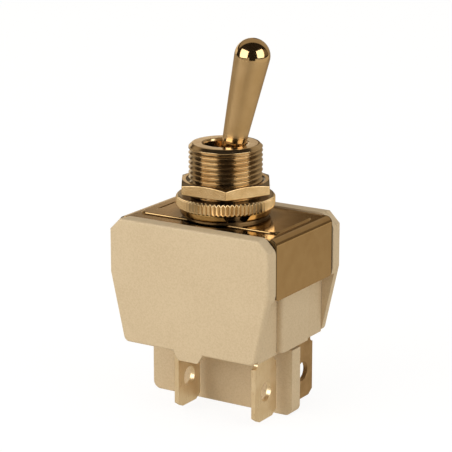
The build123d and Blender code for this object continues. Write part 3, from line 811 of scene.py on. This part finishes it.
@dataclass
class Saddle(StackPiece):
    """Strip bent down over both ends of the case, its middle pressed up to a low flat plateau.

    The rounding of the foot's corners starts at the foot reach below the rim and grows downwards. The
    slot fades out at the slot reach, in half widths from its middle line.
    """

    half_length: float = 14.7
    half_width: float = 8.9
    thickness: float = 0.9
    leg_foot: float = 21.4
    bend: float = 1.1
    inner_bend: float = 0.2
    foot_corner: float = 0.9
    foot_reach: float = 6.0
    plateau_half_length: float = 12.8
    plateau_half_width: float = 5.7
    plateau_rise: float = 0.25
    plateau_wall: float = 0.11
    plateau_corner: float = 0.9
    slot_place: float = -11.25
    slot_half_length: float = 2.2
    slot_half_width: float = 0.14
    slot_reach: float = 1.6
    slot_depth: float = 0.45
    edge_round: float = 0.12
    # Painted shade: its level, where it spreads round the washer, and how far it reaches in from the edges.
    tarnish_and_painted_shade: float = 0.8
    painted_shade_start: float = 6.9
    painted_shade_end: float = 9.6
    painted_shade_edge: float = 0.3
    edge_gain: float = 3.0
    step: float = 0.4
    fine_reach: float = 0.4
    fine_points: int = 33
    bend_rows: int = 12
    inner_bend_rows: int = 5
    leg_rows: int = 20
    edge_columns: int = 5

    def refined(self, low: float, high: float, places: tuple[float, ...]) -> Array:
        """Spaced values, with close ones round the given places.

        Args:
            low: the first value.
            high: the last value.
            places: where finer form needs close values.

        Returns:
            The values in order.
        """
        near = np.linspace(-self.fine_reach, self.fine_reach, self.fine_points)
        values = [np.arange(low, high, self.step), np.array([high])] + [near + place for place in places]
        joined = np.unique(np.round(np.concatenate(values), 4))
        return joined[(joined >= low) & (joined <= high)]

    def section(self) -> tuple[Array, Array]:
        """Closed outline of the strip: flat top, right bend and leg, their inner side, and the left's.

        Returns:
            Row by (x, z), and which of the rows lie on the flat top.
        """
        top = self.stack.rim - self.plateau_rise
        under = top - self.thickness
        flat_half = self.half_length - self.bend
        places = (-self.plateau_half_length, self.plateau_half_length, self.slot_place)
        flat = self.refined(-flat_half, flat_half, places)
        turn = np.linspace(0, np.pi / 2, self.bend_rows)[1:]
        inner_turn = np.linspace(np.pi / 2, 0, self.inner_bend_rows)
        leg = np.linspace(top - self.bend, self.leg_foot, self.leg_rows)[1:]
        inner_leg = np.linspace(self.leg_foot, under - self.inner_bend, self.leg_rows)[:-1]
        inside = self.half_length - self.thickness
        half = np.concatenate([
            np.stack([flat_half + self.bend * np.sin(turn), top - self.bend * (1 - np.cos(turn))], 1),
            np.stack([np.full_like(leg, self.half_length), leg], 1),
            np.stack([np.full_like(inner_leg, inside), inner_leg], 1),
            np.stack([inside - self.inner_bend * (1 - np.sin(inner_turn)),
                      under - self.inner_bend * (1 - np.cos(inner_turn))], 1),
        ])
        mirrored = half[::-1] * np.array([-1.0, 1.0])
        outline = np.concatenate([np.stack([flat, np.full_like(flat, top)], 1), half, mirrored])
        return outline, np.arange(len(outline)) < len(flat)

    def pressed(self, x: Array, y: Array) -> tuple[Array, Array]:
        """Shares of the plateau's rise and of the index slot's depth.

        Each is a smooth step across the edge of its outline: a rounded rectangle, and a stadium.

        Args:
            x: places along the strip.
            y: places across it.

        Returns:
            The plateau's share and the slot's share at each place, from 0 to 1.
        """
        corner = self.plateau_corner
        out_x = np.abs(x) - self.plateau_half_length + corner
        out_y = np.abs(y) - self.plateau_half_width + corner
        outside = np.hypot(np.maximum(out_x, 0.0), np.maximum(out_y, 0.0))
        distance = outside + np.minimum(np.maximum(out_x, out_y), 0.0) - corner
        plateau = np.clip((self.plateau_wall - distance) / (2 * self.plateau_wall), 0.0, 1.0)
        along = np.maximum(np.abs(y) - self.slot_half_length, 0.0)
        off_slot = np.hypot(x - self.slot_place, along)
        slot = np.clip(self.slot_reach - off_slot / self.slot_half_width, 0.0, 1.0)
        return smooth_step(plateau), smooth_step(slot)

    def build(self) -> None:
        """Sweep the section along Y, rounding its long edges, then press the plateau and the slot.

        The foot's corners rise by a circle's sagitta, which fades out up the leg. Painted shade darkens
        the strip round the washer, in the slot and along its long edges, which were cut by shearing.
        """
        outline, on_top = self.section()
        edge = np.linspace(0, np.pi / 2, self.edge_columns)
        rounding = self.edge_round * (1 - np.cos(edge))
        ends = self.half_width - self.edge_round * (1 - np.sin(edge))
        places = (self.plateau_half_width, self.half_width - self.painted_shade_edge)
        middle = self.refined(-ends[0], ends[0], places + tuple(-place for place in places))
        across = np.concatenate([-ends[:0:-1], middle, ends[1:]])
        shrink = np.concatenate([rounding[:0:-1], np.zeros(len(middle)), rounding[1:]])
        along = np.roll(outline, -1, axis=0) - np.roll(outline, 1, axis=0)
        along /= np.linalg.norm(along, axis=1, keepdims=True)
        outward = np.stack([-along[:, 1], along[:, 0]], 1)
        moved = outline[:, None, :] - outward[:, None, :] * shrink[None, :, None]
        x, z = moved[..., 0], moved[..., 1]
        y = np.broadcast_to(across, x.shape)
        beyond = np.clip(np.abs(y) - self.half_width + self.foot_corner, 0.0, self.foot_corner)
        lift = self.foot_corner - np.sqrt(self.foot_corner**2 - beyond**2)
        fade_top = self.stack.rim - self.foot_reach
        blend = np.clip((fade_top - z) / (fade_top - self.leg_foot), 0.0, 1.0)
        plateau, slot = self.pressed(x, y)
        rise = plateau * self.plateau_rise - slot * self.slot_depth
        z = z + lift * blend + np.where(on_top[:, None], rise, 0.0)
        # Painted shade and shadow round the washer, in the slot and along the long edges.
        reach = self.painted_shade_end - self.painted_shade_start
        spread = np.clip((self.painted_shade_end - np.hypot(x, y)) / reach, 0.0, 1.0)
        to_edge = np.clip((np.abs(y) - self.half_width) / self.painted_shade_edge + 1.0, 0.0, 1.0)
        edge_painted_shade = self.tarnish_and_painted_shade * np.minimum(self.edge_gain * to_edge, 1.0)
        dark = np.where(on_top[:, None], np.maximum(slot, self.tarnish_and_painted_shade * spread), edge_painted_shade)
        piece = make_piece("bent_saddle", np.stack([x, y, z], -1), True, False, sharp_angle=50.0,
                           dark_share=dark)
        stand_for(piece, "saddle", "switch_body", self.material)


@dataclass
class Casework:
    """The moulded case, the liner under the saddle and the four terminals."""

    blade_line: float = 0.1
    blade_edge: float = 0.1

    def build(self) -> None:
        """Dress the CAD meshes in their finishes."""
        dress(("case",), MouldedPhenolic().build())
        # Stamped strip: pale and satin, with faint lines along the blades and softly broken edges.
        blades = BrightMetal("blade_brass", tone="#FFF3DE", tarnish_tone="#F3E2C6", roughness=0.32,
                             line_size=self.blade_line, grain=Grain.ALONG_Z, edge_round=self.blade_edge)
        dress(("on_terminal_front", "common_terminal_front", "common_terminal_rear"), blades.build())
        # The rear blade at the right end is the same strip with painted shade: browner and darker for the
        # shade it sits in, and matter.
        shaded_blade = BrightMetal("blade_brass_painted_shade", tone="#BFA480", tarnish_tone="#A88C68", roughness=0.4,
                           line_size=self.blade_line, grain=Grain.ALONG_Z, edge_round=self.blade_edge)
        dress(("on_terminal_rear",), shaded_blade.build())
        # Pressed fibre sheet: brown and dry looking.
        dress(("liner",), HiddenPlastic("liner_fibre", "#6E5A45", 0.8).build())


@dataclass
class Mechanism:
    """The washer and the sealed inner pieces: pin, carrier, plungers, springs, rockers and contacts."""

    poles: tuple[str, str] = ("front", "rear")

    def of_poles(self, kind: str) -> tuple[str, ...]:
        """Names of the nodes of one kind, one for each pole."""
        return tuple(f"{kind}_{pole}" for pole in self.poles)

    def build(self) -> None:
        """Dress the CAD meshes in their finishes."""
        # Drawn steel wire and rod: neutral grey with a soft shine.
        steel = BrightMetal("inner_steel", tone="#A9A8A5", tarnish_tone="#989692", roughness=0.3)
        dress(("lever_pin",) + self.of_poles("plunger_spring"), steel.build())
        # Moulded nylon and acetal: off-white, the plungers smoother than their carrier.
        dress(("plunger_carrier",), HiddenPlastic("carrier_nylon", "#E6E0D2", 0.45).build())
        acetal = HiddenPlastic("plunger_acetal", "#F0EEE6", 0.3)
        dress(self.of_poles("plunger"), acetal.build())
        # Stamped brass rockers with silver alloy buttons: yellow beside pale grey.
        rocker = BrightMetal("rocker_brass", tone="#D8B27A", roughness=0.28)
        dress(self.of_poles("contact_rocker"), rocker.build())
        silver = BrightMetal("contact_silver", tone="#D8D6D0", tarnish_tone="#BDB9AE", roughness=0.25)
        dress(self.of_poles("moving_contact") + self.of_poles("fixed_contact"), silver.build())
        # Stamped spring steel: brown and dull beside the brass round it.
        washer = BrightMetal("washer_steel", tone="#8F7B5F", tarnish_tone="#6E5C44", roughness=0.3)
        dress(("tooth_washer",), washer.build())


@dataclass(frozen=True)
class Softbox:
    """A soft light at an azimuth right of the camera's and an elevation above the floor, in degrees."""

    name: str
    azimuth: float
    elevation: float
    distance: float
    width: float
    height: float
    power: float
    glow: float


@dataclass(frozen=True)
class Painter:
    """Lays tones in a node tree by how far a place or direction goes along a vector."""

    tree: NodeTree
    source: NodeSocket

    def share(self, towards: Vector, span: Span) -> Node:
        """Rise smoothly from 0 to 1 through a span along a vector.

        Args:
            towards: the vector.
            span: where the share starts and where it is whole.

        Returns:
            The node that gives the share.
        """
        along = add_node(self.tree, "ShaderNodeVectorMath", {0: self.source, 1: tuple(towards)},
                         operation="DOT_PRODUCT")
        return add_node(self.tree, "ShaderNodeMapRange", {
            "Value": along.outputs["Value"], "From Min": span[0], "From Max": span[1]},
            interpolation_type="SMOOTHSTEP")

    def lay(
        self, under: str | NodeSocket, over: str | NodeSocket, towards: Vector, span: Span
    ) -> NodeSocket:
        """Lay one colour over another from a span along a vector on.

        Args:
            under: the colour before the span, a hex tone or a socket.
            over: the colour past the span, a hex tone or a socket.
            towards: the vector.
            span: where the second colour starts and where it is whole.

        Returns:
            The laid colour's socket.
        """
        first, second = (linear(tone) if isinstance(tone, str) else tone for tone in (under, over))
        laid = add_node(self.tree, "ShaderNodeMix", {
            "Factor": self.share(towards, span), COLOUR_A: first, COLOUR_B: second}, data_type="RGBA")
        return laid.outputs[COLOUR_OUT]


@dataclass
class Studio:
    """Camera, lamps, reflected cards, pale floor and white surround.

    The spans say where a tone starts to show and where it is whole: on the floor in metres along a
    direction from the object, and in the room as parts of a unit vector.
    """

    azimuth: float = 32.045
    elevation: float = 15.011
    distance: float = 329.17
    lens: float = 162.77
    sensor: float = 36.0
    nearest: float = 10.0
    target: tuple[float, float, float] = (0.047, 0.03, 29.524)
    softboxes: tuple[Softbox, ...] = (
        Softbox("left_softbox", -59.0, 19.0, 600.0, 620.0, 500.0, 1.75, 2.6),
        Softbox("right_softbox", 56.0, 19.0, 600.0, 540.0, 500.0, 0.8, 2.6),
    )
    glow_tone: str = "#FFF3DC"
    fill: float = 0.6
    floor_half: float = 1500.0
    floor_white: str = "#F4F1EA"
    floor_glow: float = 1.1
    floor_glow_share: float = 0.8
    dark_tone: str = "#2A2218"
    floor_tone: str = "#C0AE8F"
    left_floor_tone: str = "#A8977A"
    left_floor_span: Span = (0.02, 0.16)
    back_floor_tone: str = "#A08D70"
    back_floor_span: Span = (0.02, 0.12)
    lit_floor_tones: tuple[str, str] = ("#B9A78A", "#D2C0A0")
    lit_floor_lean: float = 0.8
    lit_floor_span: Span = (0.08, 0.14)
    far_floor_span: Span = (0.36, 0.42)
    wedge_lean: float = 0.36
    wedge_span: Span = (0.115, 0.15)
    wedge_edge_span: Span = (-0.01, 0.01)
    low_back_tone: str = "#F0DFC2"
    low_back_span: Span = (0.233, 0.245)
    back_left_tone: str = "#3C2810"
    back_middle_tone: str = "#A8824C"
    back_middle_span: Span = (-0.05, -0.015)
    back_right_tone: str = "#5A472C"
    back_right_span: Span = (0.012, 0.034)
    back_high_tone: str = "#A8967A"
    back_far_span: Span = (0.10, 0.25)
    back_high_span: Span = (0.34, 0.45)
    side_tone: str = "#7A684C"
    side_span: Span = (0.84, 0.9)
    room_slant: float = 0.3
    room_span: Span = (-0.58, -0.50)

    def away(self, turn: float, rise: float) -> Vector:
        """Unit vector at an azimuth right of the camera's and an elevation, both in degrees."""
        heading, lift = radians(self.azimuth + turn), radians(rise)
        return Vector((sin(heading) * cos(lift), -cos(heading) * cos(lift), sin(lift)))

    def facing(self, place: Vector, target: Vector) -> Matrix:
        """Matrix of an object at a place that looks along its own -Z at the target."""
        turn = (place - target).to_track_quat("Z", "Y").to_matrix().to_4x4()
        return Matrix.Translation(place) @ turn

    def add_camera(self) -> None:
        """Place the camera at the photograph's viewing angle."""
        camera = bpy.data.objects.new("camera", bpy.data.cameras.new("camera"))
        camera.data.lens = self.lens
        camera.data.sensor_width = self.sensor
        camera.data.clip_start = self.nearest * MM
        target = Vector(self.target) * MM
        place = target + self.away(0.0, self.elevation) * self.distance * MM
        camera.matrix_world = self.facing(place, target)
        bpy.context.scene.collection.objects.link(camera)
        bpy.context.scene.camera = camera

    def add_softbox(self, box: Softbox) -> None:
        """Add one lamp for matte surfaces and one glowing card, which only reflections see.

        Args:
            box: the light's place, size and strengths.
        """
        target = Vector(self.target) * MM
        matrix = self.facing(target + self.away(box.azimuth, box.elevation) * box.distance * MM, target)
        lamp = bpy.data.lights.new(box.name, "AREA")
        lamp.shape = "RECTANGLE"
        lamp.size, lamp.size_y = box.width * MM, box.height * MM
        lamp.energy = box.power
        lamp_object = bpy.data.objects.new(box.name, lamp)
        lamp_object.matrix_world = matrix
        lamp_object.visible_glossy = False
        bpy.context.scene.collection.objects.link(lamp_object)
        half_x, half_y = box.width * MM / 2, box.height * MM / 2
        corners = [(-half_x, -half_y), (half_x, -half_y), (half_x, half_y), (-half_x, half_y)]
        mesh = bpy.data.meshes.new(f"{box.name}_card")
        mesh.from_pydata([matrix @ Vector((x, y, 0)) for x, y in corners], [], [(0, 1, 2, 3)])
        card = bpy.data.objects.new(f"{box.name}_card", mesh)
        material, tree = start_material(f"{box.name}_glow")
        glow = add_node(tree, "ShaderNodeEmission", {"Color": linear(self.glow_tone), "Strength": box.glow})
        add_node(tree, "ShaderNodeOutputMaterial", {"Surface": glow})
        mesh.materials.append(material)
        card.visible_camera = False
        card.visible_diffuse = False
        card.visible_shadow = False
        card.visible_transmission = False
        bpy.context.scene.collection.objects.link(card)

    def add_floor(self) -> None:
        """Add the pale floor: white with a faint shadow to the camera, and a warm table to metals.

        To metals the table is palest to the front left and right, deeper behind the object and on
        its left, and dark far off under the softboxes and in a wedge towards the camera.
        """
        half = self.floor_half * MM
        mesh = bpy.data.meshes.new("floor")
        mesh.from_pydata([(-half, -half, 0), (half, -half, 0), (half, half, 0), (-half, half, 0)], [],
                         [(0, 1, 2, 3)])
        floor = bpy.data.objects.new("floor", mesh)
        material, tree = start_material("pale_floor")
        painter = Painter(tree, add_node(tree, "ShaderNodeTexCoord").outputs["Object"])
        front, right = self.away(0.0, 0.0), self.away(90.0, 0.0)
        table = painter.lay(self.floor_tone, self.left_floor_tone, -right, self.left_floor_span)
        table = painter.lay(table, self.back_floor_tone, -front, self.back_floor_span)
        for side, tone in zip((-right, right), self.lit_floor_tones):
            slanted = front * self.lit_floor_lean + side
            table = painter.lay(table, tone, slanted, self.lit_floor_span)
            table = painter.lay(table, self.dark_tone, slanted, self.far_floor_span)
        wedge = painter.share(front, self.wedge_span)
        for side in (right, -right):
            within = painter.share(front * self.wedge_lean + side, self.wedge_edge_span)
            wedge = add_node(tree, "ShaderNodeMath", {0: wedge, 1: within}, operation="MULTIPLY")
        table = add_node(tree, "ShaderNodeMix", {
            "Factor": wedge, COLOUR_A: table, COLOUR_B: linear(self.dark_tone)}, data_type="RGBA")
        ray = add_node(tree, "ShaderNodeLightPath")
        matte = add_node(tree, "ShaderNodeBsdfDiffuse", {"Color": linear(self.floor_white)})
        bright = add_node(tree, "ShaderNodeEmission", {"Color": WHITE, "Strength": self.floor_glow})
        warm = add_node(tree, "ShaderNodeEmission", {"Color": table.outputs[COLOUR_OUT], "Strength": 1.0})
        seen = add_node(tree, "ShaderNodeMixShader", {0: self.floor_glow_share, 1: matte, 2: bright})
        to_camera = add_node(tree, "ShaderNodeMixShader", {
            0: ray.outputs["Is Camera Ray"], 1: matte, 2: seen})
        to_metal = add_node(tree, "ShaderNodeMixShader", {
            0: ray.outputs["Is Glossy Ray"], 1: to_camera, 2: warm})
        add_node(tree, "ShaderNodeOutputMaterial", {"Surface": to_metal})
        mesh.materials.append(material)
        bpy.context.scene.collection.objects.link(floor)

    def add_surround(self) -> None:
        """Fill the world: white to the camera, a soft fill to matte surfaces, and a room to metals.

        The room is dark on the camera's side, up to a slanted plane that passes just behind the
        zenith, but for a brown wall far on the right. Behind that it is warm and pale, palest low
        down, with a dark stand behind on the right.
        """
        world = bpy.data.worlds.new("surround")
        world.use_nodes = True
        tree = world.node_tree
        tree.nodes.clear()
        painter = Painter(tree, add_node(tree, "ShaderNodeTexCoord").outputs["Generated"])
        front, right, up = self.away(0.0, 0.0), self.away(90.0, 0.0), Vector((0.0, 0.0, 1.0))
        wall = painter.lay(self.back_left_tone, self.back_middle_tone, right, self.back_middle_span)
        wall = painter.lay(self.low_back_tone, wall, up, self.low_back_span)
        wall = painter.lay(wall, self.back_right_tone, right, self.back_right_span)
        wall = painter.lay(wall, self.back_high_tone, right, self.back_far_span)
        wall = painter.lay(wall, self.back_high_tone, up, self.back_high_span)
        side = painter.lay(self.dark_tone, self.side_tone, right, self.side_span)
        room = painter.lay(wall, side, front - self.room_slant * up, self.room_span)
        ray = add_node(tree, "ShaderNodeLightPath")
        seen = add_node(tree, "ShaderNodeBackground", {"Color": WHITE, "Strength": 1.0})
        fill = add_node(tree, "ShaderNodeBackground", {"Color": WHITE, "Strength": self.fill})
        mirrored = add_node(tree, "ShaderNodeBackground", {"Color": room, "Strength": 1.0})
        to_metal = add_node(tree, "ShaderNodeMixShader", {
            0: ray.outputs["Is Glossy Ray"], 1: fill, 2: mirrored})
        to_camera = add_node(tree, "ShaderNodeMixShader", {
            0: ray.outputs["Is Camera Ray"], 1: to_metal, 2: seen})
        add_node(tree, "ShaderNodeOutputWorld", {"Surface": to_camera})
        bpy.context.scene.world = world

    def build(self) -> None:
        """Set up the whole studio."""
        self.add_camera()
        for box in self.softboxes:
            self.add_softbox(box)
        self.add_floor()
        self.add_surround()
        bpy.context.scene.view_settings.view_transform = "Standard"


def main() -> None:
    """Build the studio, dress the CAD nodes and make the turned pieces."""
    logging.basicConfig(level=logging.INFO, format="%(message)s")
    Studio().build()
    Casework().build()
    Mechanism().build()
    # Turned brass: rings left by the tool run round the piece and draw its highlights out.
    turned = BrightMetal("turned_brass", tone="#E2CDAC", tarnish_tone="#CDB088", roughness=0.17,
                         grain=Grain.ALONG_X, follows_surface=True).build()
    # Dipped brass: paler and a little matter than the bushing, so that the flats show as even tones.
    nuts = BrightMetal("nut_brass", tone="#FAE4C0", tarnish_tone="#E8CCA0", roughness=0.2,
                       line_size=0.1).build()
    # Polished brass: a mirror at the ball, and satin with lines drawn along the lever's taper.
    polished = BrightMetal("polished_brass", tarnish_tone="#D6BB92", roughness=0.1, line_size=0.2,
                           line_depth=0.004, grain=Grain.ALONG_X, follows_surface=True).build()
    # Stamped brass, given a deeper tone as painted shade, for the ring sits in shade under the face nut.
    ring = BrightMetal("ring_brass", tone="#CFAE78", tarnish_tone="#BA9860", roughness=0.17).build()
    # Rolled strip: smooth and brown, with lines along its length and near mirror reflections.
    strip = BrightMetal("saddle_strip", tone="#C6AB82", tarnish_tone="#BEA177", roughness=0.14,
                        line_size=0.08, grain=Grain.ALONG_X).build()
    stack = Stack()
    Saddle(stack, strip).build()
    ThreadedBushing(stack, turned).build()
    HexNut(stack, nuts).build()
    KnurledNut(stack, nuts).build()
    KeyRing(stack, ring).build()
    BatLever(stack, polished).build()


if __name__ == "__main__":
    main()
